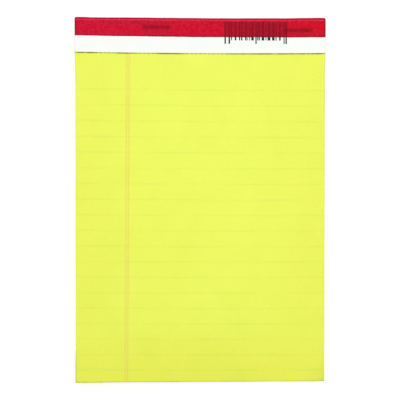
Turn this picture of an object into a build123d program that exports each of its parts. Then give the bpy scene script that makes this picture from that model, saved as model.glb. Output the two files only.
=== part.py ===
"""Legal pad: a block of ruled sheets on a stiff board, stitched with wire and taped along the head.

The pad lies on its board. X runs across the page, Y runs up the page to the head, Z is up.
The origin is under the middle of the pad, on the surface that it lies on.
"""

import os
from math import sqrt

from build123d import *

# Driving sizes, in millimetres

# The whole pad, with its tape
pad_width = 139.0
pad_length = 203.2

# Sheets and board
sheet_count = 50
sheet_thickness = 0.085
board_thickness = 0.8

# Label strip across the front, held under the tape
label_thickness = 0.1
label_depth = 19.5

# Tear line: a row of slits through every sheet, just below the label
tear_line_below_label = 0.25
slit_length = 1.6
slit_gap = 0.8
slit_width = 0.3

# Binding tape, folded over the head from front to back
tape_thickness = 0.12
tape_front_depth = 10.6
tape_back_depth = 12.0
front_fold_radius = 1.2
back_fold_radius = 0.3

# Flat wire staples, with the crown on the front and the legs clinched on the back
wire_width = 0.8
wire_thickness = 0.5
wire_edge_chamfer = 0.12
wire_clearance = 0.02
crown_length = 15.0
clinch_length = 5.0
bend_radius = 0.6

# Each staple's middle: how far in from the named side of the pad, and how far below the head
left_staple_from_left = 44.9
left_staple_depth = 5.3
right_staple_from_right = 14.7
right_staple_depth = 6.7

# A crown presses the paper down by this much, and the paper slopes back up over this width
crown_sink = 0.2
press_slope = 0.3

# The tape's low ridge over each crown has this radius across
ridge_radius = 2.0

# Places that follow from the sizes

head = pad_length / 2
foot = -pad_length / 2
head_face = head - tape_thickness
board_top = board_thickness
sheets_top = board_top + sheet_count * sheet_thickness
label_top = sheets_top + label_thickness

label_edge = head - label_depth
tear_line = label_edge - tear_line_below_label
fold_start = head_face - front_fold_radius
tape_front_edge = head - tape_front_depth
tape_back_edge = head - tape_back_depth

room_width = wire_width + 2 * wire_clearance
room_thickness = wire_thickness + 2 * wire_clearance
crown_height = label_top - crown_sink + wire_thickness / 2
clinch_height = tape_thickness + room_thickness / 2
staple_places = [
    (left_staple_from_left - pad_width / 2, head - left_staple_depth),
    (pad_width / 2 - right_staple_from_right, head - right_staple_depth),
]

# The inside of the ridge clears the two upper corners of the crown
ridge_inner_radius = ridge_radius - tape_thickness
ridge_axis = crown_height + room_thickness / 2 - sqrt(ridge_inner_radius**2 - (room_width / 2) ** 2)


def slab(y_low, y_high, z_low, z_high):
    """A full-width slab between two heights, from one line across the page to another."""
    middle = Location((0, (y_low + y_high) / 2, (z_low + z_high) / 2))
    return middle * Box(pad_width, y_high - y_low, z_high - z_low)


def staple_line(x, y, clinch):
    """The middle line of one staple's wire: clinch, leg, crown, leg, clinch."""
    left, right = x - crown_length / 2, x + crown_length / 2
    corners = [
        (left + clinch, y, clinch_height),
        (left, y, clinch_height),
        (left, y, crown_height),
        (right, y, crown_height),
        (right, y, clinch_height),
        (right - clinch, y, clinch_height),
    ]
    return FilletPolyline(*corners, radius=bend_radius)


def section_across(line, width, thickness):
    """A flat wire's section, square to the start of its line, with its width along Y."""
    return Plane(origin=line @ 0, x_dir=(0, 1, 0), z_dir=line % 0) * Rectangle(width, thickness)


def ridge_bar(x, y, radius):
    """A bar with ball ends from leg to leg of a staple, as far as it rises over the label."""
    bar = Location((x, y, ridge_axis), (0, 90, 0)) * Cylinder(radius, crown_length)
    for end in (x - crown_length / 2, x + crown_length / 2):
        bar += Location((end, y, ridge_axis)) * Sphere(radius)
    return split(bar, bisect_by=Plane.XY.offset(label_top), keep=Keep.TOP)


def wire_room(x, y):
    """The way that one staple's wire takes through the pad, from clinch to clinch."""
    line = staple_line(x, y, clinch_length + wire_clearance)
    return sweep(section_across(line, room_width, room_thickness), path=line)


def crown_press(x, y, surface):
    """The shallow pan that one crown presses into paper with its surface at this height."""
    length = crown_length + room_thickness
    floor = Location((x, y, surface - crown_sink - wire_clearance)) * Rectangle(length, room_width)
    mouth_length, mouth_width = length + 2 * press_slope, room_width + 2 * press_slope
    mouth = Location((x, y, surface)) * Rectangle(mouth_length, mouth_width)
    return loft([floor, mouth])


def make_backing_board():
    """Chipboard back, pressed thinner by the tape's thickness where the tape is bonded to it."""
    board = slab(foot, head_face, 0, board_top)
    board -= slab(tape_back_edge, head_face, 0, tape_thickness)
    lower_head_edge = board.edges().filter_by(Axis.X).group_by(Axis.Y)[-1].sort_by(Axis.Z)[0]
    board = fillet(lower_head_edge, back_fold_radius)
    for x, y in staple_places:
        board -= wire_room(x, y)
    return board


def make_ruled_sheets():
    """All the sheets as one block, rounded over at the head and slit along the tear line."""
    sheets = slab(foot, head_face, board_top, sheets_top)
    upper_head_edge = sheets.edges().filter_by(Axis.X).group_by(Axis.Y)[-1].sort_by(Axis.Z)[-1]
    sheets = fillet(upper_head_edge, front_fold_radius)
    for x, y in staple_places:
        sheets -= crown_press(x, y, sheets_top)
        sheets -= wire_room(x, y)
    slit_pitch = slit_length + slit_gap
    slit_count = int((pad_width - slit_gap) // slit_pitch)
    slit_height = sheets_top - board_top
    slit = Box(slit_length, slit_width, slit_height)
    tear_row = Location((0, tear_line, board_top + slit_height / 2))
    slits = [tear_row * place * slit for place in GridLocations(slit_pitch, 0, slit_count, 1)]
    return sheets - slits


def make_label_strip():
    """Paper strip over the head of the front sheet, pressed down under each staple's crown."""
    label = slab(label_edge, fold_start, sheets_top, label_top)
    for x, y in staple_places:
        label += crown_press(x, y, sheets_top)
        label -= crown_press(x, y, label_top)
        label -= wire_room(x, y)
    return label


def make_binding_tape():
    """Tape folded over the head, with a low ridge drawn over each staple's crown."""
    corners = [
        (0, tape_front_edge, label_top),
        (0, head_face, label_top),
        (0, head_face, tape_thickness),
        (0, tape_back_edge, tape_thickness),
    ]
    inside = FilletPolyline(*corners, radius=[front_fold_radius, back_fold_radius])
    section = Plane(origin=inside @ 0, z_dir=inside % 0, x_dir=(1, 0, 0))
    strip = section * Location((0, -tape_thickness / 2)) * Rectangle(pad_width, tape_thickness)
    tape = sweep(strip, path=inside)
    for x, y in staple_places:
        tape += ridge_bar(x, y, ridge_radius)
        tape -= ridge_bar(x, y, ridge_inner_radius)
    return tape


def make_staple(x, y):
    """One staple: flat wire with eased edges, bent to a crown, two legs and two clinched ends."""
    line = staple_line(x, y, clinch_length)
    section = section_across(line, wire_width, wire_thickness)
    return sweep(chamfer(section.vertices(), wire_edge_chamfer), path=line)


def main():
    os.makedirs("parts", exist_ok=True)
    pieces = {
        "backing_board": make_backing_board(),
        "ruled_sheets": make_ruled_sheets(),
        "label_strip": make_label_strip(),
        "binding_tape": make_binding_tape(),
        "staples": Compound([make_staple(x, y) for x, y in staple_places]),
    }
    for name, piece in pieces.items():
        export_step(piece, f"parts/{name}.step")
        print(name, len(piece.solids()), "solids", round(piece.volume, 2), "mm3")


main()
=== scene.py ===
# %% [markdown]
# # A legal pad, lying face up
# The real thing is fifty ruled sheets on a stiff board. Two wire staples hold the head together, a white
# strip lies across the top of the front page, and a red tape is folded over the staples from the front to
# the back. The solids exist already, exact and flat. This lesson loads them as a fixed frame and lays paper
# over them that has been cut, pressed and handled, as real paper has, with some painted shade and painted
# highlights in its colours.

import bpy
import numpy as np
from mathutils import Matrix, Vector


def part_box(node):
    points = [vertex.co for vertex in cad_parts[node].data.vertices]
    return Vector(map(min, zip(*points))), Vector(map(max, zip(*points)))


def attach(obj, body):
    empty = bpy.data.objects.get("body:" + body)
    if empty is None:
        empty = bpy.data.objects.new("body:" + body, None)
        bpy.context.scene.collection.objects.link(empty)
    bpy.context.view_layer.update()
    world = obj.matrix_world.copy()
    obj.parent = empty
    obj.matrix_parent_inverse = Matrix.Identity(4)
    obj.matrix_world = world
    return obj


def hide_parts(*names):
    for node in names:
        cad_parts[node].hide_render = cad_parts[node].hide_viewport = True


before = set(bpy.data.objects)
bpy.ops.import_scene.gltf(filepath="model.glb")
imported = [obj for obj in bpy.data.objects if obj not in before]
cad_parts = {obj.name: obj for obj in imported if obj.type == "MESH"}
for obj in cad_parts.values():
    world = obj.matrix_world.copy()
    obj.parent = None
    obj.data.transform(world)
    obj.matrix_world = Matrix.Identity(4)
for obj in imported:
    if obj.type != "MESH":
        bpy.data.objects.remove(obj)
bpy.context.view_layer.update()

# %% [markdown]
# ## Sizes
# Blender counts in metres here, and paper is a tenth of a millimetre thick, so small lengths are written as
# so many MM. Most sizes are read from the solids, which keeps the new surfaces in step with them. X runs
# across the page, Y runs up the page to the head, and Z is up.

# %% Read the sizes of the solids
MM = 0.001
SHEET_COUNT = 50

left, foot, sheets_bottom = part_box("ruled_sheets")[0]
right, head_face, sheets_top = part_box("ruled_sheets")[1]
label_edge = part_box("label_strip")[0].y
fold_start, label_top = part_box("label_strip")[1].yz
tape_back_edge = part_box("binding_tape")[0].y
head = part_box("binding_tape")[1].y

sheet_thickness = (sheets_top - sheets_bottom) / SHEET_COUNT
label_thickness = label_top - sheets_top
tape_thickness = head - head_face
fold_radius = head_face - fold_start
papers = {"sheet": sheet_thickness, "label": label_thickness, "tape": tape_thickness}
for paper_name, thickness in papers.items():
    print(f"{paper_name} {thickness / MM:.3f} mm thick")

# %% [markdown]
# The two staples share one node. Their points are split into a left and a right group, and the box of each
# group says where that staple is and how long its crown is. The paper is pressed down there, and the tape
# bulges and shows a mark.

# %% Find the two staples
wire_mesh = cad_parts["staples"].data
wire = np.empty(3 * len(wire_mesh.vertices), np.float32)
wire_mesh.vertices.foreach_get("co", wire)
wire = wire.reshape(-1, 3).astype(float)
on_left = wire[:, 0] < wire[:, 0].mean()
staples = []
for group in (wire[on_left], wire[~on_left]):
    low, high = group.min(axis=0), group.max(axis=0)
    staples.append({"middle": (low + high) / 2, "half_length": (high[0] - low[0]) / 2})
for staple in staples:
    print("staple at", (staple["middle"][:2] / MM).round(1), "mm")

# %% [markdown]
# ## From arrays to meshes
# A sheet is a grid of points, row by row. Blender could extrude and subdivide a plane instead, but a grid
# from arrays puts a row or a column exactly where a cut or a fold needs one. A sheet has a top and an
# underside, so its open edges, round the outside and round each slit, are closed with a strip of faces. An
# edge is open when no neighbouring face runs along it the other way.

# %% Grid of faces and closed sheet
def quads(rows, columns):
    """Corner numbers of each cell of a grid that is counted row by row, anticlockwise from above."""
    cell = np.arange((rows - 1) * columns).reshape(rows - 1, columns)[:, :-1]
    return np.stack([cell, cell + 1, cell + columns + 1, cell + columns], axis=-1).reshape(-1, 4)


def close_sheet(outer, inner, faces):
    """Outer faces, the same faces turned over on the inner points, and a strip along every open edge."""
    count = len(outer)
    edges = np.concatenate([faces[:, [corner, (corner + 1) % 4]] for corner in range(4)])
    there, back = edges @ [count, 1], edges @ [1, count]
    start, end = edges[~np.isin(there, back)].T
    rim = np.stack([end, start, start + count, end + count], axis=1)
    return np.concatenate([outer, inner]), np.concatenate([faces, faces[:, ::-1] + count, rim])


print("a grid of 3 by 4 points has", len(quads(3, 4)), "faces")

# %% [markdown]
# A piece can also carry tones: one number for each point, stored in the mesh under a name. A material
# reads them by that name, so painted shade, painted highlights and marks are worked out here, where the
# folds and the staples are known.

# %% New piece
SHARP_FROM = np.radians(40)


def new_piece(name, points, faces, slot, replaced, **tones):
    """A mesh object at the origin, with its creases kept sharp, that stands for a CAD node."""
    mesh = bpy.data.meshes.new(name)
    mesh.from_pydata(points.tolist(), [], faces.tolist())
    mesh.polygons.foreach_set("use_smooth", np.ones(len(faces), bool))
    mesh.set_sharp_from_angle(angle=SHARP_FROM)
    for tone, values in tones.items():
        mesh.attributes.new(tone, "FLOAT", "POINT").data.foreach_set("value", values.astype(np.float32))
    piece = bpy.data.objects.new(name, mesh)
    bpy.context.scene.collection.objects.link(piece)
    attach(piece, "root")
    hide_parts(replaced)
    print(name, len(points), "points", len(faces), "faces", *tones)
    return piece


print("creases of more than", round(np.degrees(SHARP_FROM)), "degrees stay sharp")

# %% [markdown]
# ## What handling does to paper
# A sheet that has been cut, stitched and thumbed isn't flat. It has long low waves, and a dent where a
# staple pulls it down. Each is a function of place. Sines with fixed phases do for the waves, since they are
# smooth and always come out the same.

# %% Waves and dents
PRESS_DEPTH = 0.26 * MM
PRESS_SPREAD = 1.6 * MM


def smooth_step(low, high, value):
    """0 up to low, 1 from high on, with a cubic ease between."""
    share = np.clip((value - low) / (high - low), 0, 1)
    return share * share * (3 - 2 * share)


def ripple(along, wavelengths, seed):
    """A wandering line from -1 to 1: the mean of one sine for each wavelength, with seeded phases."""
    phases = np.random.default_rng(seed).uniform(0, 2 * np.pi, len(wavelengths))
    waves = [np.sin(2 * np.pi * along / length + phase) for length, phase in zip(wavelengths, phases)]
    return sum(waves) / len(waves)


def over_staples(x, y, spread):
    """1 over each crown: a bell curve of this spread across the wire, eased off past the crown's ends."""
    total = np.zeros(np.broadcast(x, y).shape)
    for staple in staples:
        across = np.exp(-(((y - staple["middle"][1]) / spread) ** 2))
        past_end = np.abs(x - staple["middle"][0]) - staple["half_length"]
        total += across * (1 - smooth_step(-spread, spread, past_end))
    return total


print("paper is pressed down by", PRESS_DEPTH / MM, "mm under each crown")

# %% [markdown]
# At the head, the sheets roll over under the tape, and the two corners there have worn round. The stitching
# has squeezed the paper, which has spread a little to both sides, and right of the middle the head has been
# pushed in above the stiff board. A bevel would round one piece at a time. Functions that move points shape
# the sheets, the strip and the tape alike, so they still fit each other.

# %% Rolled, worn, pushed-in and spread head
WORN_RADIUS = 0.8 * MM
HEAD_SPREAD = 0.36 * MM
SPREAD_BELOW_LABEL = 14 * MM
SPREAD_ABOVE_EDGE = 4 * MM
DENT_DEPTH = 0.22 * MM
DENT_MIDDLE = 8 * MM
DENT_SPREAD = 32 * MM
DENT_REACH = 3 * MM


def roll_over_head(y):
    """How far the paper drops near the head: a quarter circle of the fold's radius."""
    past = np.clip(y - fold_start, 0, fold_radius)
    return fold_radius - np.sqrt(fold_radius**2 - past**2)


def spread_head(points):
    """Stretch X by the spread at each side, eased in from well below the label to just above its edge."""
    eased = smooth_step(label_edge - SPREAD_BELOW_LABEL, label_edge + SPREAD_ABOVE_EDGE, points[..., 1])
    spread = points.copy()
    spread[..., 0] *= 1 + HEAD_SPREAD / right * eased
    return spread


def push_in_head(points):
    """Move Y down by a bell curve of X, eased in towards the head and, from the board up, with height."""
    x, y, z = np.moveaxis(points, -1, 0)
    bell = np.exp(-(((x - DENT_MIDDLE) / DENT_SPREAD) ** 2))
    eased = smooth_step(head_face - DENT_REACH, head_face, y) * smooth_step(sheets_bottom, label_top, z)
    pushed = points.copy()
    pushed[..., 1] -= DENT_DEPTH * bell * eased
    return pushed


def shape_head(points):
    """Round both corners (the larger reach into the square becomes the true one), push in and spread."""
    x, y = points[..., 0], points[..., 1]
    reach_x, reach_y = np.abs(x) - (right - WORN_RADIUS), y - (head - WORN_RADIUS)
    inside = (reach_x > 0) & (reach_y > 0)
    true_reach = np.maximum(np.hypot(reach_x, reach_y), 1e-12)
    shrink = np.where(inside, np.maximum(reach_x, reach_y) / true_reach, 1)
    worn = points.copy()
    worn[..., 0] = np.where(inside, np.sign(x) * (right - WORN_RADIUS + reach_x * shrink), x)
    worn[..., 1] = np.where(inside, head - WORN_RADIUS + reach_y * shrink, y)
    return spread_head(push_in_head(worn))


print("head corners are worn to", WORN_RADIUS / MM, "mm and spread by", HEAD_SPREAD / MM, "mm")

# %% [markdown]
# ## Rows and columns
# The tear line is a row of slits, as long, as wide and as far apart as those of the solid. A texture could
# only draw them, so the grid has a column at each end of every slit and rows along both sides of the line,
# and the cells that fall in a slit are left out. Narrow cells round the outside carry the tone of the cut
# edges. The same grid serves the front page and the block of sheets below it. The strip was laid a little
# askew and in a slight bow, and the rows follow it.

# %% Columns at the slits
SLIT_LENGTH = 1.6 * MM
SLIT_GAP = 0.8 * MM
EDGE_WIDTH = 0.5 * MM

slit_pitch = SLIT_LENGTH + SLIT_GAP
slit_count = int((right - left - SLIT_GAP) // slit_pitch)
slit_middles = (np.arange(slit_count) - (slit_count - 1) / 2) * slit_pitch
slit_ends = np.stack([slit_middles - SLIT_LENGTH / 2, slit_middles + SLIT_LENGTH / 2], axis=1).ravel()
columns = np.concatenate([[left, left + EDGE_WIDTH], slit_ends, [right - EDGE_WIDTH, right]])
slit_columns = 2 + 2 * np.arange(slit_count)
print(slit_count, "slits,", len(columns), "columns")

# %% Rows along the tear line
SLIT_WIDTH = 0.3 * MM
TRENCH_WIDTH = 0.27 * MM
TEAR_LINE_BELOW_LABEL = 0.25 * MM
SHADE_LINE_WIDTH = 0.4 * MM
PAGE_ROWS = 80
STUB_ROWS = 32
STRIP_SKEW = 0.12 * MM
STRIP_DROP = 0.32 * MM
LAID_BOW = 0.45 * MM


def laid(x, skew, drop):
    """How far up the page a strip lies: a parabola with both ends up, less a slope and a drop."""
    across = x / right
    return LAID_BOW * across**2 - skew * across - drop


tear_line = label_edge - TEAR_LINE_BELOW_LABEL
slit_low, slit_high = tear_line - SLIT_WIDTH / 2, tear_line + SLIT_WIDTH / 2
trench_rows = [tear_line - TRENCH_WIDTH / 2, tear_line + TRENCH_WIDTH / 2]
# The page rows stop short of the slits by the width of the painted shade line.
page_rows = np.linspace(foot + EDGE_WIDTH, slit_low - SHADE_LINE_WIDTH, PAGE_ROWS)
stub_rows = np.linspace(slit_high, head_face, STUB_ROWS)
rows = np.concatenate([[foot], page_rows, [slit_low], trench_rows, stub_rows])
slit_row = int(np.searchsorted(rows, slit_low))

grid_x, grid_y = np.meshgrid(columns, rows)
row_share = np.interp(grid_y, [foot, tear_line, head_face], [0, 1, 0])
grid_y = grid_y + laid(grid_x, STRIP_SKEW, STRIP_DROP) * row_share
print(len(rows), "rows, with the slits between rows", slit_row, "and", slit_row + 3)

# %% [markdown]
# ## Where the strip stands open
# The strip's lower edge has sprung up along some stretches and lies flat along others. Shade gathers
# under it where it is open and is painted on the page as a dark line, so one function of X drives both
# the strip's lift and that painted shade. The stretches were chosen one by one.

# %% Open stretches
OPEN_STRETCHES = [(-71, -57), (-46, -37), (-24, -9), (15, 70)]
OPEN_EASE = 3 * MM


def stands_open(x):
    """1 along the open stretches (from and to, in mm), eased to 0 between them."""
    total = np.zeros_like(x)
    for start, end in OPEN_STRETCHES:
        rise = smooth_step(start * MM - OPEN_EASE, start * MM + OPEN_EASE, x)
        total += rise - smooth_step(end * MM - OPEN_EASE, end * MM + OPEN_EASE, x)
    return total


print("the strip stands open along", sum(end - start for start, end in OPEN_STRETCHES), "mm")

# %% [markdown]
# ## Front page
# The front sheet is the one that shows. It lies on the next sheet in long low waves, and it is held flat
# only above the tear line. One corner at the foot has curled a little from being lifted. Cloth simulation
# could find such a shape, but paper hardly stretches, and waves this low are given well enough by a sum of
# slanting sines.

# %% Lift of the front page
COCKLE_HEIGHT = 0.14 * MM
COCKLES = [(78, 62), (96, 41), (64, 29), (110, 85)]
COCKLE_EASE = 40 * MM
CURL_HEIGHT = 0.5 * MM
CURL_SIZE = 13 * MM


def cockle(x, y):
    """Lift of a loose page: slanting sines (degrees, mm), raised above 0 and eased in from the tear line."""
    waves = []
    for degrees, length in COCKLES:
        across = x * np.cos(np.radians(degrees)) + y * np.sin(np.radians(degrees))
        waves.append(ripple(across, [length * MM], seed=degrees))
    return COCKLE_HEIGHT * smooth_step(0, COCKLE_EASE, tear_line - y) * (1 + sum(waves) / len(waves))


def near_edge(distance):
    """1 on a cut edge, falling evenly to 0 at the edge's width."""
    return np.clip(1 - distance / EDGE_WIDTH, 0, 1)


def past_corner(x, y):
    """How far a point lies past the diagonal across the right foot corner: 0 on it, 1 at the corner."""
    return np.clip(1 - ((right - x) + (y - foot)) / CURL_SIZE, 0, 1)


page_z = sheets_top + cockle(grid_x, grid_y) + CURL_HEIGHT * past_corner(grid_x, grid_y) ** 2
page_z -= PRESS_DEPTH * over_staples(grid_x, grid_y, PRESS_SPREAD) + roll_over_head(grid_y)
print("front page rises", round((page_z.max() - sheets_top) / MM, 2), "mm at most")

# %% [markdown]
# The front sheet has crept back from the foot by a hair, unevenly, so the next sheets show below it as a
# thin darker line. It also carries painted shade as a tone: a dark line along the tear line, strongest
# under the strip's open stretches, a faint darkening along the cut edges, and a little warm shade on the
# curled corner.

# %% Make the front page
CREEP = 0.12 * MM
FOOT_CREEP_WAVES = [63 * MM, 27 * MM]
SIDE_CREEP_WAVES = [90 * MM, 37 * MM]
# Strengths of the painted shade: along the tear line, along the cut edges and on the curled corner.
TEAR_LINE_SHADE = 0.75
CLOSED_SHADE = 0.3
SIDE_EDGE_SHADE = 0.2
FOOT_EDGE_SHADE = 0.36
CORNER_SHADE = 0.14

page_x, page_y = grid_x.copy(), grid_y.copy()
page_y[0] += CREEP * (1 + ripple(columns, FOOT_CREEP_WAVES, seed=21))
page_x[:, 0] += CREEP / 2 * (1 + ripple(rows, SIDE_CREEP_WAVES, seed=22))
page_x[:, -1] -= CREEP / 2 * (1 + ripple(rows, SIDE_CREEP_WAVES, seed=23))
page_top = shape_head(np.stack([page_x, page_y, page_z], axis=-1)).reshape(-1, 3)
page_under = page_top - [0, 0, sheet_thickness]

# Painted shade: darker along the cut edges, on the curled corner, and along the tear line under the strip.
toning = SIDE_EDGE_SHADE * near_edge(right - np.abs(grid_x)) + FOOT_EDGE_SHADE * near_edge(grid_y - foot)
toning += CORNER_SHADE * past_corner(grid_x, grid_y)
toning[slit_row:] += TEAR_LINE_SHADE * (CLOSED_SHADE + (1 - CLOSED_SHADE) * stands_open(columns))

page_faces = quads(len(rows), len(columns))
cell_row, cell_column = np.divmod(np.arange(len(page_faces)), len(columns) - 1)
in_slit = np.isin(cell_row, slit_row + np.arange(3)) & np.isin(cell_column, slit_columns)
page_mesh = close_sheet(page_top, page_under, page_faces[~in_slit])
front_page = new_piece(
    "front_page", *page_mesh, "page_paper", "ruled_sheets", toning=np.tile(toning.ravel(), 2)
)

# %% [markdown]
# ## Block of sheets
# The other forty-nine sheets lie closed, so only their cut edges show. Each sheet has slipped a hair
# sideways, which gives the edge its fine lines, and at the left foot corner all have been pushed out a
# little. Forty-nine thin boxes would do that too, but one closed surface is lighter: its sides are rings
# that step out at the middle of each sheet and back in between two sheets. Under the slits runs a narrow
# trench, so that a slit looks as deep as it is.

# %% Top and underside of the block
SHEET_AIR = 0.005 * MM
TRENCH_DEPTH = 1.5 * MM

block_z = np.full(grid_x.shape, sheets_top - sheet_thickness - SHEET_AIR)
block_z -= PRESS_DEPTH * over_staples(grid_x, grid_y, PRESS_SPREAD) + roll_over_head(grid_y)
block_z[slit_row + 1 : slit_row + 3, slit_columns[0] : slit_columns[-1] + 2] -= TRENCH_DEPTH
block_top = shape_head(np.stack([grid_x, grid_y, block_z], axis=-1)).reshape(-1, 3)
block_under = block_top.copy()
block_under[:, 2] = sheets_bottom
print("trench", TRENCH_DEPTH / MM, "mm deep under", slit_count, "slits")

# %% Slip of each sheet
SLIP = 0.05 * MM
FOOT_SLIP = 0.22 * MM
FOOT_SLIP_SHEETS = 4
NOTCH = 0.03 * MM
PUSHED_OUT = 0.3 * MM
PUSHED_REACH = 20 * MM

number = np.arange(grid_x.size).reshape(grid_x.shape)
border = np.concatenate([number[0, :-1], number[:-1, -1], number[-1, :0:-1], number[:0:-1, 0]])
border_x, border_y = grid_x.ravel()[border], grid_y.ravel()[border]
outward = np.stack([(border_x == right) * 1 - (border_x == left) * 1, (border_y == foot) * -1], axis=1)

block_sheets = SHEET_COUNT - 1
from_top = np.arange(block_sheets)[::-1]
slips = np.random.default_rng(7).normal(0, SLIP, (block_sheets, 2))
slips[:, 1] -= FOOT_SLIP * np.exp(-from_top / FOOT_SLIP_SHEETS)
ring_slips = np.zeros((2 * block_sheets + 1, 2))
ring_slips[1::2] = slips
ring_slips[2:-1:2] = (slips[:-1] + slips[1:]) / 2
from_corner = np.maximum(border_x - left, border_y - foot)
pushed = PUSHED_OUT * smooth_step(PUSHED_REACH, PUSHED_REACH / 2, from_corner)
free = (head_face - border_y) / (head_face - foot)
moved = ring_slips[:, None, :] * np.abs(outward)
moved[1:-1] += pushed[:, None] * outward
moved[2:-1:2] -= NOTCH * outward
moved *= free[:, None]
print("sheets slip by up to", round(np.abs(moved).max() / MM, 2), "mm")

# %% Make the block of sheets
share = np.linspace(0, 1, 2 * block_sheets + 1)[:, None, None]
rings = block_under[border] * (1 - share) + block_top[border] * share
rings[..., :2] += moved
ring_number = 2 * grid_x.size + np.arange(rings[1:-1, :, 0].size).reshape(-1, len(border))
ring_number = np.concatenate([[border + grid_x.size], ring_number, [border]])
lower, upper = ring_number[:-1], ring_number[1:]
side_faces = np.stack([lower, np.roll(lower, -1, 1), np.roll(upper, -1, 1), upper], axis=-1)
block_points = np.concatenate([block_top, block_under, rings[1:-1].reshape(-1, 3)])
block_faces = np.concatenate([page_faces, page_faces[:, ::-1] + grid_x.size, side_faces.reshape(-1, 4)])
page_block = new_piece("page_block", block_points, block_faces, "page_paper", "ruled_sheets")

# %% [markdown]
# ## White strip
# The strip is a plain piece of paper, stapled and taped at its upper edge. Its lower edge is free and lifts
# along the open stretches. It needs no slits, so its grid is the same columns carried from a wandering lower
# edge up to the fold. It carries two tones: grey painted shade at its cut ends, and yellow along its foot,
# where the page has rubbed off on it.

# %% Make the white strip
STRIP_LIFT = 0.4 * MM
CLOSED_LIFT = 0.25
STRIP_WANDER = 0.05 * MM
STRIP_WAVES = [31 * MM, 12 * MM, 5.3 * MM]
STRIP_ROWS = 40
STRIP_END_SHADE = 0.32
STRIP_FOOT_TONE = 0.42
TAPE_FRONT_DEPTH = 10.6 * MM

tape_front_edge = head - TAPE_FRONT_DEPTH
strip_x, strip_up = np.meshgrid(columns, np.linspace(0, 1, STRIP_ROWS))
strip_foot = label_edge + laid(strip_x, STRIP_SKEW, STRIP_DROP)
strip_foot += STRIP_WANDER * ripple(strip_x, STRIP_WAVES, seed=3)
strip_y = strip_foot + (fold_start - strip_foot) * strip_up
free_share = smooth_step(0, 1, (tape_front_edge - strip_y) / (tape_front_edge - label_edge))
strip_lift = CLOSED_LIFT + (1 - CLOSED_LIFT) * stands_open(strip_x)
strip_z = label_top + STRIP_LIFT * strip_lift * free_share
strip_z -= PRESS_DEPTH * over_staples(strip_x, strip_y, PRESS_SPREAD)
strip_top = spread_head(push_in_head(np.stack([strip_x, strip_y, strip_z], axis=-1))).reshape(-1, 3)
strip_mesh = close_sheet(strip_top, strip_top - [0, 0, label_thickness], quads(*strip_x.shape))
# Grey painted shade at the cut ends, and yellow along the foot.
strip_tones = {
    "toning": STRIP_END_SHADE * near_edge(right - np.abs(strip_x)),
    "yellowed": STRIP_FOOT_TONE * near_edge(strip_y - strip_foot),
}
strip_tones = {name: np.tile(values.ravel(), 2) for name, values in strip_tones.items()}
white_strip = new_piece("white_strip", *strip_mesh, "label_paper", "label_strip", **strip_tones)

# %% [markdown]
# ## Binding tape
# The tape is one strip of red paper, folded round the head. Its section is a path: the front flap, a round
# fold, the head, a tight fold and the back flap. The path is carried along X, once for the outer face and
# once for the inner face, with the tape's thickness between them.

# %% Section of the tape
BACK_FOLD_RADIUS = 0.3 * MM
FLAP_STEPS = 48
FOLD_STEPS = 14


def tape_section(inset):
    """The path at this depth below the outer side: flap, quarter circle, quarter circle and flap."""
    turn = np.linspace(0, np.pi / 2, FOLD_STEPS)
    back_start = head_face - BACK_FOLD_RADIUS
    front = fold_radius + tape_thickness - inset
    back = BACK_FOLD_RADIUS + tape_thickness - inset
    y = [
        np.linspace(tape_front_edge, fold_start, FLAP_STEPS, endpoint=False),
        fold_start + front * np.sin(turn),
        back_start + back * np.cos(turn),
        np.linspace(back_start, tape_back_edge, FLAP_STEPS)[1:],
    ]
    z = [
        np.full(FLAP_STEPS, label_top + tape_thickness - inset),
        label_top - fold_radius + front * np.cos(turn),
        tape_thickness + BACK_FOLD_RADIUS - back * np.sin(turn),
        np.full(FLAP_STEPS - 1, inset),
    ]
    return np.concatenate(y), np.concatenate(z)


print(len(tape_section(0)[0]), "points round the tape")

# %% [markdown]
# The machine laid the tape a little askew and bowed, and its edge wanders. The front flap bulges over each
# staple. The fold isn't straight either: it stands a hair proud of the sheets at its left end and towards
# its right end.

# %% Face of the tape
TAPE_SKEW = 0.28 * MM
TAPE_DROP = 0.2 * MM
TAPE_WANDER = 0.06 * MM
TAPE_WAVES = [52 * MM, 23 * MM, 7 * MM]
FOLD_WANDER = 0.1 * MM
FOLD_WAVES = [71 * MM, 33 * MM, 14 * MM]
PROUD_LEFT = 0.2 * MM
PROUD_LENGTH = 6 * MM
PROUD_EASE = 3 * MM
PROUD_RIGHT = 0.3 * MM
PROUD_RIGHT_FROM = 45 * MM
PROUD_RIGHT_TO = 68 * MM
RIDGE_HEIGHT = 0.38 * MM
RIDGE_SPREAD = 1.25 * MM
TAPE_COLUMNS = 182

tape_ends = np.array([left, left + EDGE_WIDTH])
tape_middle = np.linspace(left, right, TAPE_COLUMNS)[2:-2]
tape_columns = np.concatenate([tape_ends, tape_middle, -tape_ends[::-1]])


def tape_face(inset):
    """The section carried along X: its front edge askew, its fold uneven, and a ridge over each staple."""
    section_y, section_z = tape_section(inset)
    x, y = np.meshgrid(tape_columns, section_y)
    z = np.repeat(section_z[:, None], len(tape_columns), axis=1)
    in_front = z > label_top / 2
    to_edge = in_front * np.clip((fold_start - y) / (fold_start - tape_front_edge), 0, 1)
    to_head = smooth_step(fold_start - fold_radius, head_face, y)
    wander = TAPE_WANDER * ripple(x, TAPE_WAVES, seed=5)
    y += to_edge * (laid(x, TAPE_SKEW, TAPE_DROP) + wander)
    y += to_head * FOLD_WANDER * (1 + ripple(x, FOLD_WAVES, seed=6)) / 2
    y += to_head * PROUD_LEFT * smooth_step(PROUD_LENGTH + PROUD_EASE, PROUD_LENGTH, x - left)
    y += to_head * PROUD_RIGHT * smooth_step(PROUD_RIGHT_FROM, PROUD_RIGHT_TO, x)
    z += in_front * RIDGE_HEIGHT * over_staples(x, y, RIDGE_SPREAD)
    return shape_head(np.stack([x, y, z], axis=-1))


tape_outer, tape_inner = tape_face(0), tape_face(tape_thickness)
print("tape of", *tape_outer.shape[:2], "points a face")
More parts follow.
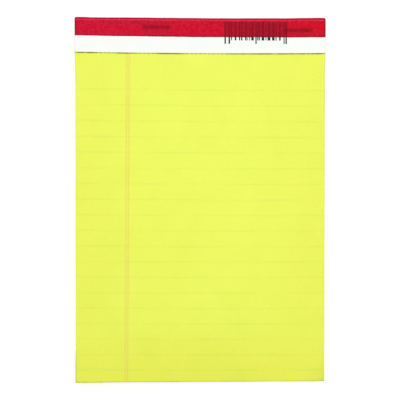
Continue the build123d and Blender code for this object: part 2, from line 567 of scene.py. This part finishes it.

# %% [markdown]
# Three tones are painted on the tape. A pale band along the crest of the fold is a painted highlight. It
# is darker along its cut edges, with painted shade a little where it turns down at the head. The wire
# shows through along each crown in front, with a painted shadow just below it, and at the two turned-in
# ends on the back.

# %% Make the binding tape
# Widths and strengths of the painted highlight, the painted shade and the wire marks.
CREST_HIGHLIGHT_WIDTH = 0.3 * MM
TURN_SHADE_WIDTH = 0.4 * MM
TURN_SHADE_SHARE = 0.5
DARK_EDGE_WIDTH = 1.0 * MM
MARK_SPREAD = 1.15 * MM
MARK_SHADE_BELOW_WIRE = 0.22 * MM
MARK_UNEVENNESS = 0.2
MARK_WAVES = [7 * MM, 3.1 * MM]
CLINCH_LENGTH = 5.0 * MM


def tape_tones(face):
    """Painted highlight and shade, dark edges and wire marks, from the path, the ends and the staples."""
    x, y, z = np.moveaxis(face, -1, 0)
    steps = np.linalg.norm(np.diff(face, axis=0), axis=-1)
    along = np.concatenate([np.zeros((1, face.shape[1])), np.cumsum(steps, axis=0)])
    past_crest = along - along[FLAP_STEPS]
    # Painted highlight along the crest of the fold.
    crest_highlight = np.exp(-((past_crest / CREST_HIGHLIGHT_WIDTH) ** 2))
    # Painted shade where the fold turns down at the head.
    turned = np.exp(-(((past_crest - fold_radius / 2) / TURN_SHADE_WIDTH) ** 2))
    from_cut = np.minimum(np.minimum(along, along[-1] - along), right + HEAD_SPREAD - np.abs(x))
    # Darker cut edges, and the painted shade at the turn.
    dark_edge_and_turn_shade = np.maximum(np.clip(1 - from_cut / DARK_EDGE_WIDTH, 0, 1), TURN_SHADE_SHARE * turned)
    # The wire showing through, moved a little below it as a painted shadow.
    crowns = over_staples(x, y + MARK_SHADE_BELOW_WIRE, MARK_SPREAD)
    crowns *= 1 - MARK_UNEVENNESS + MARK_UNEVENNESS * ripple(x, MARK_WAVES, seed=31)
    between = [np.abs(x - staple["middle"][0]) < staple["half_length"] - CLINCH_LENGTH for staple in staples]
    wire_marks_and_shade = np.where(z > label_top / 2, crowns, crowns * ~np.any(between, axis=0))
    return {"crest_highlight": crest_highlight, "dark_edge_and_turn_shade": dark_edge_and_turn_shade, "wire_marks_and_shade": wire_marks_and_shade}


outer_tones, inner_tones = tape_tones(tape_outer), tape_tones(tape_inner)
tones = {name: np.concatenate([outer_tones[name], inner_tones[name]]).ravel() for name in outer_tones}
tape_mesh = close_sheet(tape_outer.reshape(-1, 3), tape_inner.reshape(-1, 3), quads(*tape_outer.shape[:2]))
red_tape = new_piece("red_tape", *tape_mesh, "binding_paper", "binding_tape", **tones)

# %% [markdown]
# ## Materials from nodes
# Each material is a small tree of nodes that works from a point's place on the object, in metres, so a
# pattern has a real size. One function adds a node, sets it and links it. Colours are written as they look
# on a screen and turned to the linear values that light is worked out in.

# %% Node and colour helpers
def linear(code):
    """Linear colour of an sRGB hex code: each channel through the standard curve."""
    values = np.array([int(code[place : place + 2], 16) for place in (1, 3, 5)]) / 255
    low, high = values / 12.92, ((values + 0.055) / 1.055) ** 2.4
    return (*np.where(values <= 0.04045, low, high).tolist(), 1.0)


def add(tree, kind, inputs=None, **settings):
    """Add a node with its settings, feed its inputs values or other nodes' outputs, and give its outputs."""
    node = tree.nodes.new("ShaderNode" + kind)
    for name, value in settings.items():
        setattr(node, name, value)
    for socket, value in (inputs or {}).items():
        if isinstance(value, bpy.types.NodeSocket):
            tree.links.new(value, node.inputs[socket])
        else:
            node.inputs[socket].default_value = value
    return node.outputs


def new_material(name, **surface):
    """A material with one Principled surface, whose constant inputs are set here, and Object coordinates."""
    material = bpy.data.materials.new(name)
    material.use_nodes = True
    tree = material.node_tree
    shader = tree.nodes["Principled BSDF"]
    for socket, value in surface.items():
        shader.inputs[socket.replace("_", " ")].default_value = value
    place = add(tree, "TexCoord")["Object"]
    print("material", name)
    return material, tree, shader, place


def dress(piece, material):
    """Give a piece this one material."""
    piece.data.materials.clear()
    piece.data.materials.append(material)


print("middle grey is", round(linear("#808080")[0], 3), "in linear light")

# %% [markdown]
# ## Ruled paper
# The page is uncoated writing paper, dyed yellow in the pulp. Uncoated paper scatters light evenly, so it is
# rough and has hardly any shine. Held to the light it is cloudy, because fibres settle unevenly on the wire
# of the paper machine, and that cloudiness shows as a faint mottle. Towards the foot, and a little towards
# the sides, the yellow is painted deeper: painted shade where the light falls off.

# %% Yellow pulp
PAPER_IOR = 1.45
FIBRE_CLOUD = 16 * MM
FIBRE_GRAIN = 1.2 * MM
MOTTLE_RANGE = {"From Min": 0.7, "From Max": 1.3}
FOOT_FALLOFF_DEPTH = 40 * MM
SIDE_FALLOFF_SHARE = 0.35

paper, tree, shader, place = new_material(
    "ruled_writing_paper", Roughness=0.9, IOR=PAPER_IOR, Specular_IOR_Level=0.2
)
xyz = add(tree, "SeparateXYZ", {0: place})
cloud = add(tree, "TexNoise", {"Vector": place, "Scale": 1 / FIBRE_CLOUD, "Detail": 3.0})["Fac"]
grain = add(tree, "TexNoise", {"Vector": place, "Scale": 1 / FIBRE_GRAIN, "Detail": 2.0})["Fac"]
mottle = add(tree, "Math", {0: cloud, 1: grain}, operation="ADD")[0]
mottle = add(tree, "MapRange", {"Value": mottle, **MOTTLE_RANGE})[0]
pulp_mix = {"Factor": mottle, 6: linear("#EDF85F"), 7: linear("#F2FC66")}
pulp = add(tree, "Mix", pulp_mix, data_type="RGBA")[2]
# Painted shade: the yellow is deepened towards the foot and the sides, where the light falls off.
falloff_shade = {"Value": xyz["Y"], "From Min": foot + FOOT_FALLOFF_DEPTH, "From Max": foot}
falloff_shade = add(tree, "MapRange", falloff_shade, interpolation_type="SMOOTHSTEP")[0]
off_middle = add(tree, "Math", {0: xyz["X"]}, operation="ABSOLUTE")[0]
side = {"Value": off_middle, "From Min": right / 4, "From Max": right, "To Max": SIDE_FALLOFF_SHARE}
side = add(tree, "MapRange", side, interpolation_type="SMOOTHSTEP")[0]
falloff_shade = add(tree, "Math", {0: falloff_shade, 1: side}, operation="MAXIMUM")[0]
falloff_shade_mix = {"Factor": falloff_shade, 6: pulp, 7: linear("#FAF7E2")}
pulp = add(tree, "Mix", falloff_shade_mix, data_type="RGBA", blend_type="MULTIPLY")[2]

# %% [markdown]
# The rules are printed from rubber wheels in thin, pale blue ink that spreads in the soft paper and comes
# and goes. They lie a little askew, and the sheet has stretched since, so their ends turn up. They are
# drawn from a bent Y: a ping-pong wave gives the distance to the nearest rule. Past the first and the last
# rule, it is held halfway between two rules, so no more are drawn. A noise that is stretched along the
# rules makes the ink come and go.

# %% Rules
RULE_COUNT = 19
FIRST_RULE_BELOW_HEAD = 40.44 * MM
RULE_LEAN = 0.005
RULE_BOW = 0.28 * MM
RULE_SPACING = 8.714 * MM
RULE_WIDTH = 0.7 * MM
INK_FEATHER = 0.55 * MM
RULE_INK = "#9AD274"
RULE_STRENGTH = {"To Min": 0.03, "To Max": 0.18}
INK_PATCH_LENGTH = 26 * MM
INK_PATCH_HEIGHT = 4 * MM
INK_PATCH_RANGE = {"From Min": 0.35, "From Max": 0.65}

patch_scale = (1 / INK_PATCH_LENGTH, 1 / INK_PATCH_HEIGHT, 0)
stretched = add(tree, "VectorMath", {0: place, 1: patch_scale}, operation="MULTIPLY")[0]
patchy = add(tree, "TexNoise", {"Vector": stretched, "Scale": 1.0, "Detail": 2.0})["Fac"]
patchy = add(tree, "MapRange", {"Value": patchy, **INK_PATCH_RANGE})[0]
askew = add(tree, "Math", {0: xyz["X"], 1: RULE_LEAN, 2: xyz["Y"]}, operation="MULTIPLY_ADD")[0]
from_middle = add(tree, "VectorMath", {0: place, 1: place}, operation="DOT_PRODUCT")["Value"]
bent = {0: from_middle, 1: -RULE_BOW / right**2, 2: askew}
bent = add(tree, "Math", bent, operation="MULTIPLY_ADD")[0]
below_first = add(tree, "Math", {0: head - FIRST_RULE_BELOW_HEAD, 1: bent}, operation="SUBTRACT")[0]
ruled_range = {"Value": below_first, "Min": -RULE_SPACING / 2, "Max": (RULE_COUNT - 0.5) * RULE_SPACING}
below_first = add(tree, "Clamp", ruled_range)[0]
off_rule = add(tree, "Math", {0: below_first, 1: RULE_SPACING / 2}, operation="PINGPONG")[0]
rule_fade = {"From Min": RULE_WIDTH / 2 + INK_FEATHER, "From Max": RULE_WIDTH / 2 - INK_FEATHER}
rule_ink = add(tree, "MapRange", {"Value": off_rule, **rule_fade})[0]
rule_strength = add(tree, "MapRange", {"Value": patchy, **RULE_STRENGTH})[0]
rule_ink = add(tree, "Math", {0: rule_ink, 1: rule_strength}, operation="MULTIPLY")[0]
ruled = add(tree, "Mix", {"Factor": rule_ink, 6: pulp, 7: linear(RULE_INK)}, data_type="RGBA")[2]
print(RULE_COUNT, "rules", RULE_SPACING / MM, "mm apart")

# %% [markdown]
# The margin is a pair of thin lines that don't run quite true to the sheet. Their red ink has bled in the
# soft paper: the lines have dried to a dull ochre, and a faint warm wash lies between and beside them. Both
# are drawn from the distance to the middle of the pair, the wash first and the lines over it.

# %% Margin
MARGIN_FROM_LEFT = 28.64 * MM
MARGIN_LEAN = 0.0068
MARGIN_SPACING = 1.34 * MM
LINE_REACH = 0.6 * MM
LINE_INK = "#D0D040"
WASH_MIDDLE = 0.28 * MM
WASH_REACH = 2.5 * MM
WASH_INK = "#FEE576"
MARGIN_STRENGTH = {"To Min": 0.28, "To Max": 0.42}

lean = add(tree, "Math", {0: xyz["Y"], 1: -MARGIN_LEAN, 2: xyz["X"]}, operation="MULTIPLY_ADD")[0]
off_pair = add(tree, "Math", {0: lean, 1: left + MARGIN_FROM_LEFT}, operation="SUBTRACT")[0]
off_pair = add(tree, "Math", {0: off_pair}, operation="ABSOLUTE")[0]
off_line = add(tree, "Math", {0: off_pair, 1: MARGIN_SPACING / 2}, operation="SUBTRACT")[0]
off_line = add(tree, "Math", {0: off_line}, operation="ABSOLUTE")[0]
wash_fade = {"Value": off_pair, "From Min": WASH_REACH, "From Max": WASH_MIDDLE}
line_fade = {"Value": off_line, "From Min": LINE_REACH, "From Max": 0.0}
margin_strength = add(tree, "MapRange", {"Value": patchy, **MARGIN_STRENGTH})[0]
lined = ruled
for fade, ink in ((wash_fade, WASH_INK), (line_fade, LINE_INK)):
    margin_ink = add(tree, "MapRange", fade)[0]
    margin_ink = add(tree, "Math", {0: margin_ink, 1: margin_strength}, operation="MULTIPLY")[0]
    lined = add(tree, "Mix", {"Factor": margin_ink, 6: lined, 7: linear(ink)}, data_type="RGBA")[2]
print("margin", MARGIN_FROM_LEFT / MM, "mm from the left")

# %% [markdown]
# Last comes the painted shade. The tone that the page carries says where it lies, and a noise breaks it
# up, so it doesn't lie evenly. The fibre grain also gives the paper its tooth.

# %% Painted shade and tooth
SHADE_PATCH = 2.5 * MM
SHADE_RANGE = {"From Min": 0.3, "From Max": 0.6, "To Min": 0.4}
PAPER_TOOTH = {"Strength": 0.25, "Distance": 0.02 * MM}

toning = add(tree, "Attribute", attribute_name="toning")["Fac"]
speckle = add(tree, "TexNoise", {"Vector": place, "Scale": 1 / SHADE_PATCH, "Detail": 2.0})["Fac"]
speckle = add(tree, "MapRange", {"Value": speckle, **SHADE_RANGE})[0]
# Painted shade in a dark brown, where the page's tone and the noise say.
page_shade = add(tree, "Math", {0: toning, 1: speckle}, operation="MULTIPLY")[0]
page_colour = add(tree, "Mix", {"Factor": page_shade, 6: lined, 7: linear("#604C1C")}, data_type="RGBA")[2]
tree.links.new(page_colour, shader.inputs["Base Color"])
tooth = add(tree, "Bump", {"Height": grain, **PAPER_TOOTH})[0]
tree.links.new(tooth, shader.inputs["Normal"])
dress(front_page, paper)
print("front page has", len(tree.nodes), "nodes")

# %% [markdown]
# ## Cut edges
# A guillotine cuts the whole block at once. The cut faces show the ends of the fibres, a little deeper in
# colour than the page, with fine streaks along the sheets where the blade pressed some together. A noise
# that is stretched along the edge and squeezed in height gives the streaks. Single sheets are too fine to
# show, so a streak is three thick.

# %% Guillotined yellow paper edges
STREAK_LENGTH = 25 * MM
STREAK_SHEETS = 3
STREAK_RANGE = {"From Min": 0.3, "From Max": 0.7}

edges, tree, shader, place = new_material(
    "guillotined_paper_edges", Roughness=0.95, IOR=PAPER_IOR, Specular_IOR_Level=0.1
)
streak_scale = (1 / STREAK_LENGTH, 1 / STREAK_LENGTH, 1 / (STREAK_SHEETS * sheet_thickness))
stretched = add(tree, "VectorMath", {0: place, 1: streak_scale}, operation="MULTIPLY")[0]
streaks = add(tree, "TexNoise", {"Vector": stretched, "Scale": 1.0, "Detail": 2.0})["Fac"]
streaks = add(tree, "MapRange", {"Value": streaks, **STREAK_RANGE})[0]
edge_mix = {"Factor": streaks, 6: linear("#C6CB40"), 7: linear("#EEF466")}
edge_colour = add(tree, "Mix", edge_mix, data_type="RGBA")[2]
tree.links.new(edge_colour, shader.inputs["Base Color"])
dress(page_block, edges)

# %% [markdown]
# ## Print on the strip
# A block of plain bars is printed on the strip, half under the tape. It stands for nothing: the bars are
# where three sines of different wavelengths add up to more than zero, and the ones at the ends and in the
# middle are longer. The tape is thin enough for the bars to show through, blurred by the glue, so one
# function lays them out in both materials, with as much blur as each needs. The sum of the sines climbs
# past zero by about 1 in 0.3 mm, which turns a blur in millimetres into a range of that sum.

# %% Bars
BARS_FROM_LEFT = 82.7 * MM
BARS_WIDTH = 35.06 * MM
BARS_TOP_BELOW_HEAD = 2.3 * MM
BARS_FOOT_BELOW_HEAD = 12.6 * MM
LONG_BARS_EXTRA = 1.9 * MM
LONG_AT_ENDS = 14.2 * MM
LONG_IN_MIDDLE = 0.8 * MM
BAR_WAVES = [3.1 * MM, 1.9 * MM, 1.13 * MM]
WAVE_SLOPE = 1 / (0.3 * MM)


def printed_bars(tree, xyz, blur, fill):
    """1 on a bar, where three sines of X add up to more than 0, and the fill between bars, in a block."""
    total = 0.0
    for length in BAR_WAVES:
        turns = add(tree, "Math", {0: xyz["X"], 1: 2 * np.pi / length}, operation="MULTIPLY")[0]
        wave = add(tree, "Math", {0: turns}, operation="SINE")[0]
        total = add(tree, "Math", {0: total, 1: wave}, operation="ADD")[0]
    soft = blur * WAVE_SLOPE
    bars_fade = {"Value": total, "From Min": -soft, "From Max": soft, "To Min": fill}
    middle = left + BARS_FROM_LEFT + BARS_WIDTH / 2
    off_middle = add(tree, "Math", {0: xyz["X"], 1: middle}, operation="SUBTRACT")[0]
    off_middle = add(tree, "Math", {0: off_middle}, operation="ABSOLUTE")[0]
    at_ends = add(tree, "Math", {0: off_middle, 1: LONG_AT_ENDS}, operation="GREATER_THAN")[0]
    in_middle = add(tree, "Math", {0: off_middle, 1: LONG_IN_MIDDLE}, operation="LESS_THAN")[0]
    long_bars = add(tree, "Math", {0: at_ends, 1: in_middle}, operation="MAXIMUM")[0]
    raised = {0: long_bars, 1: LONG_BARS_EXTRA, 2: xyz["Y"]}
    raised = add(tree, "Math", raised, operation="MULTIPLY_ADD")[0]
    low, high = head - BARS_FOOT_BELOW_HEAD, head - BARS_TOP_BELOW_HEAD
    half = BARS_WIDTH / 2
    limits = [
        {"Value": off_middle, "From Min": half + blur, "From Max": half - blur},
        {"Value": raised, "From Min": low - blur, "From Max": low + blur},
        {"Value": xyz["Y"], "From Min": high + blur, "From Max": high - blur},
    ]
    ink = add(tree, "MapRange", bars_fade)[0]
    for limit in limits:
        within = add(tree, "MapRange", limit)[0]
        ink = add(tree, "Math", {0: ink, 1: within}, operation="MULTIPLY")[0]
    return ink


print("bars", BARS_WIDTH / MM, "mm wide")

# %% [markdown]
# The strip itself is smooth white paper, a little cloudy, with grey painted shade at its cut ends, and
# yellowed along its foot. The ink is black, and the paper takes it almost without blur.

# %% Smooth white strip paper
WHITE_CLOUD = 6 * MM
INK_BLUR = 0.03 * MM

white, tree, shader, place = new_material(
    "smooth_white_paper", Roughness=0.75, IOR=PAPER_IOR, Specular_IOR_Level=0.25
)
xyz = add(tree, "SeparateXYZ", {0: place})
cloud = add(tree, "TexNoise", {"Vector": place, "Scale": 1 / WHITE_CLOUD, "Detail": 3.0})["Fac"]
white_mix = {"Factor": cloud, 6: linear("#F8FAF4"), 7: linear("#FBFEFA")}
bare = add(tree, "Mix", white_mix, data_type="RGBA")[2]
# Painted shade: grey at the strip's cut ends.
toning = add(tree, "Attribute", attribute_name="toning")["Fac"]
bare = add(tree, "Mix", {"Factor": toning, 6: bare, 7: linear("#6E7470")}, data_type="RGBA")[2]
yellowed = add(tree, "Attribute", attribute_name="yellowed")["Fac"]
yellowed_mix = {"Factor": yellowed, 6: bare, 7: linear("#F2FC66")}
bare = add(tree, "Mix", yellowed_mix, data_type="RGBA", blend_type="MULTIPLY")[2]
printed = printed_bars(tree, xyz, blur=INK_BLUR, fill=0.0)
print_mix = {"Factor": printed, 6: bare, 7: linear("#232325")}
strip_colour = add(tree, "Mix", print_mix, data_type="RGBA")[2]
tree.links.new(strip_colour, shader.inputs["Base Color"])
dress(white_strip, white)

# %% [markdown]
# ## Red binding paper
# The tape is soft red paper with glue on its back. Its fibres take the dye unevenly, so it is mottled at
# the scale of a millimetre, and it has faded a little towards the left end. It is thin: the bars below it
# show as a darker block. Only the front flap lies over them, so the back is masked off by height.

# %% Mottled red paper and the bars below it
DYE_MOTTLE = 1.4 * MM
DYE_RANGE = {"From Min": 0.3, "From Max": 0.7}
SHOW_BLUR = 0.2 * MM
SHOW_FILL = 0.42
SHOW_THROUGH = 0.72

tape_paper, tree, shader, place = new_material(
    "red_binding_paper", Roughness=0.7, IOR=PAPER_IOR, Specular_IOR_Level=0.1
)
xyz = add(tree, "SeparateXYZ", {0: place})
fibre = add(tree, "TexNoise", {"Vector": place, "Scale": 1 / DYE_MOTTLE, "Detail": 3.0})["Fac"]
dye = add(tree, "MapRange", {"Value": fibre, **DYE_RANGE})[0]
red = add(tree, "Mix", {"Factor": dye, 6: linear("#BE0624"), 7: linear("#DD173E")}, data_type="RGBA")[2]
unfaded = add(tree, "MapRange", {"Value": xyz["X"], "From Min": left, "From Max": right})[0]
unfaded_mix = {"Factor": unfaded, 6: red, 7: linear("#FFD1C4")}
red = add(tree, "Mix", unfaded_mix, data_type="RGBA", blend_type="MULTIPLY")[2]
in_front = add(tree, "Math", {0: xyz["Z"], 1: label_top / 2}, operation="GREATER_THAN")[0]
seen = add(tree, "Math", {0: in_front, 1: SHOW_THROUGH}, operation="MULTIPLY")[0]
printed = printed_bars(tree, xyz, blur=SHOW_BLUR, fill=SHOW_FILL)
seen = add(tree, "Math", {0: seen, 1: printed}, operation="MULTIPLY")[0]
red = add(tree, "Mix", {"Factor": seen, 6: red, 7: linear("#5A0C1C")}, data_type="RGBA")[2]

# %% [markdown]
# The three tones of the tape follow, each with its own colour: pink for the painted highlight on the
# crest, a dark red for the darker edges and the painted shade at the turn, and a dark red for the wire
# marks with their painted shadow. The mottle of the dye breaks up all three.

# %% Painted highlight, shade and marks of the tape
TAPE_TONE_STRENGTHS = {"crest_highlight": 0.6, "dark_edge_and_turn_shade": 0.9, "wire_marks_and_shade": 0.84}
TAPE_TONE_COLOURS = {"crest_highlight": "#FF4872", "dark_edge_and_turn_shade": "#521338", "wire_marks_and_shade": "#560A1C"}
TAPE_TONE_RANGE = {"From Min": 0.3, "From Max": 0.6, "To Min": 0.5}
TAPE_TOOTH = {"Strength": 0.4, "Distance": 0.05 * MM}

# Each painted tone, broken up by the mottle of the dye.
broken = add(tree, "MapRange", {"Value": fibre, **TAPE_TONE_RANGE})[0]
for tone, strength in TAPE_TONE_STRENGTHS.items():
    worn = add(tree, "Attribute", attribute_name=tone)["Fac"]
    worn = add(tree, "Math", {0: worn, 1: strength}, operation="MULTIPLY")[0]
    worn = add(tree, "Math", {0: worn, 1: broken}, operation="MULTIPLY")[0]
    tape_tone_mix = {"Factor": worn, 6: red, 7: linear(TAPE_TONE_COLOURS[tone])}
    red = add(tree, "Mix", tape_tone_mix, data_type="RGBA")[2]
tree.links.new(red, shader.inputs["Base Color"])
tape_tooth = add(tree, "Bump", {"Height": fibre, **TAPE_TOOTH})[0]
tree.links.new(tape_tooth, shader.inputs["Normal"])
dress(red_tape, tape_paper)
print("tape has", len(tree.nodes), "nodes")

# %% [markdown]
# ## Board and wire
# The back is chipboard, pressed from waste paper. It is grey-brown, with darker and paler fibres that lie
# every way, and it has no shine. A noise that is stretched along one direction looks like fibres, so four of
# them are turned to four angles, and only their peaks are coloured. The staples are galvanised steel wire,
# drawn through a die, so they are smooth and dull bright. Both shapes are right as solids, so those nodes
# stay and only get their material.

# %% Grey chipboard
PULP_CLOUD = 5 * MM
PULP_GRAIN = 0.7 * MM
BOARD_TOOTH = {"Strength": 0.4, "Distance": 0.05 * MM}
FIBRE_LENGTH = 2.2 * MM
FIBRE_WIDTH = 0.25 * MM
FIBRE_PEAKS = {"From Min": 0.6, "From Max": 0.68, "To Max": 0.7}
FIBRE_COLOURS = {20: "#5C5348", 75: "#CFC6B8", 130: "#6A6054", 165: "#D8D0C3"}

board, tree, shader, place = new_material(
    "pressed_grey_chipboard", Roughness=0.95, IOR=PAPER_IOR, Specular_IOR_Level=0.1
)
pulp_cloud = add(tree, "TexNoise", {"Vector": place, "Scale": 1 / PULP_CLOUD, "Detail": 5.0})["Fac"]
board_mix = {"Factor": pulp_cloud, 6: linear("#8A8072"), 7: linear("#A99F90")}
board_colour = add(tree, "Mix", board_mix, data_type="RGBA")[2]
for degrees, colour in FIBRE_COLOURS.items():
    turn = {"Rotation": (0, 0, np.radians(degrees)), "Scale": (FIBRE_LENGTH, FIBRE_WIDTH, 1.0)}
    turned = add(tree, "Mapping", {"Vector": place, **turn}, vector_type="TEXTURE")[0]
    fibres = add(tree, "TexNoise", {"Vector": turned, "Scale": 1.0, "Detail": 1.0})["Fac"]
    peaks = add(tree, "MapRange", {"Value": fibres, **FIBRE_PEAKS})[0]
    fibre_mix = {"Factor": peaks, 6: board_colour, 7: linear(colour)}
    board_colour = add(tree, "Mix", fibre_mix, data_type="RGBA")[2]
tree.links.new(board_colour, shader.inputs["Base Color"])
pulp_grain = add(tree, "TexNoise", {"Vector": place, "Scale": 1 / PULP_GRAIN, "Detail": 2.0})["Fac"]
board_tooth = add(tree, "Bump", {"Height": pulp_grain, **BOARD_TOOTH})[0]
tree.links.new(board_tooth, shader.inputs["Normal"])
dress(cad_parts["backing_board"], board)

# %% Galvanised wire
ZINC_GRAIN = 0.3 * MM
ZINC_ROUGHNESS = {"To Min": 0.3, "To Max": 0.45}

steel, tree, shader, place = new_material("drawn_galvanised_wire", Metallic=1.0)
zinc_grain = add(tree, "TexNoise", {"Vector": place, "Scale": 1 / ZINC_GRAIN, "Detail": 2.0})["Fac"]
zinc_mix = {"Factor": zinc_grain, 6: linear("#A9ABAD"), 7: linear("#C9CBCC")}
zinc = add(tree, "Mix", zinc_mix, data_type="RGBA")[2]
tree.links.new(zinc, shader.inputs["Base Color"])
zinc_roughness = add(tree, "MapRange", {"Value": zinc_grain, **ZINC_ROUGHNESS})[0]
tree.links.new(zinc_roughness, shader.inputs["Roughness"])
dress(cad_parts["staples"], steel)

# %% [markdown]
# ## Floor and light
# The floor is pale and matt. To the camera it also glows, so that it comes out white and still keeps the
# pad's soft shadow. The Light Path node tells a ray from the camera from light that falls on the pad, and
# only the former sees the glow.

# %% Floor
FLOOR_SIZE = 6.0
FLOOR_BELOW = 0.05 * MM
FLOOR_GLOW = 0.5


def seen_directly(tree):
    """1 for a ray from the camera, a reflection or glass, and 0 for light that falls on the pad."""
    path = add(tree, "LightPath")
    indirect = {0: path["Is Glossy Ray"], 1: path["Is Transmission Ray"]}
    indirect = add(tree, "Math", indirect, operation="MAXIMUM")[0]
    return add(tree, "Math", {0: path["Is Camera Ray"], 1: indirect}, operation="MAXIMUM")[0]


corners = np.array([[-1, -1, 0], [1, -1, 0], [1, 1, 0], [-1, 1, 0]]) * FLOOR_SIZE / 2
floor_mesh = bpy.data.meshes.new("floor")
floor_mesh.from_pydata((corners - [0, 0, FLOOR_BELOW]).tolist(), [], [[0, 1, 2, 3]])
floor = bpy.data.objects.new("floor", floor_mesh)
bpy.context.scene.collection.objects.link(floor)
matt, tree, shader, place = new_material("matt_white_floor", Base_Color=linear("#D8D8D8"), Roughness=1.0)
shader.inputs["Emission Color"].default_value = linear("#FFFFFF")
glow = add(tree, "Math", {0: seen_directly(tree), 1: FLOOR_GLOW}, operation="MULTIPLY")[0]
tree.links.new(glow, shader.inputs["Emission Strength"])
dress(floor, matt)

# %% [markdown]
# Flat artwork is photographed on a copy stand, with two soft lamps at the sides and pale walls all round.
# The walls are the world's even light. The lamps stand level with the upper half of the page, so the light
# falls off a little towards the foot, and the right one is a little stronger.

# %% World and lamps
SKY_LEVEL = 0.64
LAMP_SIZE = 0.3
LAMPS = {"left": ((-0.28, 0.09, 0.42), 0.57), "right": ((0.28, 0.09, 0.42), 0.66)}

world = bpy.data.worlds.new("studio")
world.use_nodes = True
bpy.context.scene.world = world
sky = world.node_tree.nodes["Background"]
sky.inputs["Color"].default_value = linear("#FFFFFF")
levels = {"Value": seen_directly(world.node_tree), "To Min": SKY_LEVEL, "To Max": 1.0}
level = add(world.node_tree, "MapRange", levels)[0]
world.node_tree.links.new(level, sky.inputs["Strength"])

for side, (lamp_place, power) in LAMPS.items():
    light = bpy.data.lights.new("lamp_" + side, "AREA")
    light.energy = power
    light.size = LAMP_SIZE
    lamp = bpy.data.objects.new("lamp_" + side, light)
    lamp.location = lamp_place
    lamp.rotation_euler = (-lamp.location).to_track_quat("-Z", "Y").to_euler()
    lamp.visible_camera = False
    bpy.context.scene.collection.objects.link(lamp)
    print("lamp", side, "of", power, "W")

# %% [markdown]
# ## Camera
# The camera looks straight down at the pad, a little from the upper left, from about half a metre. Its
# place and its two small tilts, in degrees, were found by matching the edges of the pad in a frame of 400
# by 400 pixels.

# %% Camera
CAMERA_LENS = 85
CAMERA_PLACE = (-15.1 * MM, 9.6 * MM, 532.0 * MM)
CAMERA_TILT = -1.032
CAMERA_LEAN = -1.606

camera_data = bpy.data.cameras.new("camera")
camera_data.lens = CAMERA_LENS
camera = bpy.data.objects.new("camera", camera_data)
camera.location = CAMERA_PLACE
camera.rotation_euler = np.radians([CAMERA_TILT, CAMERA_LEAN, 0]).tolist()
bpy.context.scene.collection.objects.link(camera)
bpy.context.scene.camera = camera
bpy.context.scene.view_settings.view_transform = "Standard"
print("camera at", [round(value, 3) for value in camera.location])
